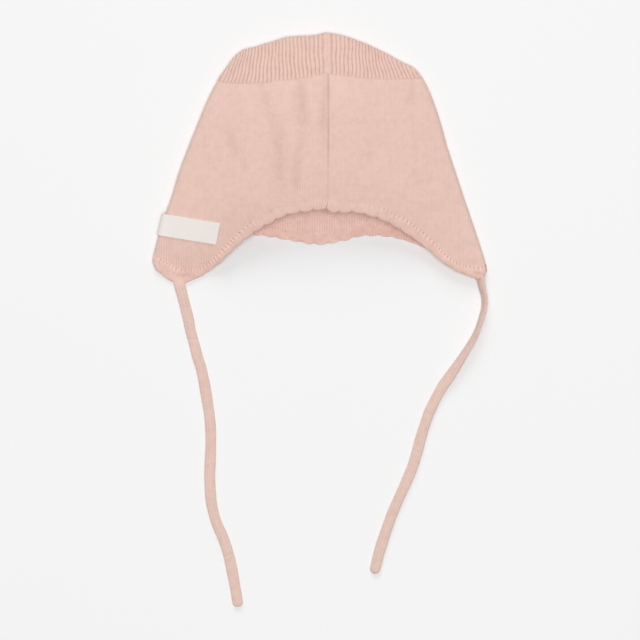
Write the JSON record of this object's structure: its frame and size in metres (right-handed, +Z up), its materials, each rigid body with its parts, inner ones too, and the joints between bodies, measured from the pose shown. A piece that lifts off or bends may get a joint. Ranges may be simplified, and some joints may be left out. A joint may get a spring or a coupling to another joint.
{
  "type": "baby bonnet",
  "caption": "Knitted cotton baby bonnet lying flat, with a ribbed crown, a centre front seam, a scalloped knitted edge, two ear flaps, a bare woven label and two flat ties",
  "frame": {"origin": "bottom centre of the bonnet without its ties, on the surface that it lies on", "axes": "+Z up off the surface, +Y from the opening to the crown, +X to the right seen from above"},
  "size_m": [0.2145, 0.3676, 0.0228],
  "materials": {
    "plain_knit": "fine stockinette cotton knit, matt",
    "rib_knit": "1x1 rib cotton knit, matt",
    "trim_knit": "folded cotton knit edge, matt",
    "seam_knit": "overlocked seam, matt",
    "woven_label": "woven tape, matt",
    "tie_knit": "flat knitted tube, matt"
  },
  "bodies": {
    "root": {"body_knit": "plain_knit", "crown_rib": "rib_knit", "scalloped_trim": "trim_knit", "front_seam": "seam_knit", "side_label": "woven_label", "left_tie": "tie_knit", "right_tie": "tie_knit"}
  },
  "joints": []
}
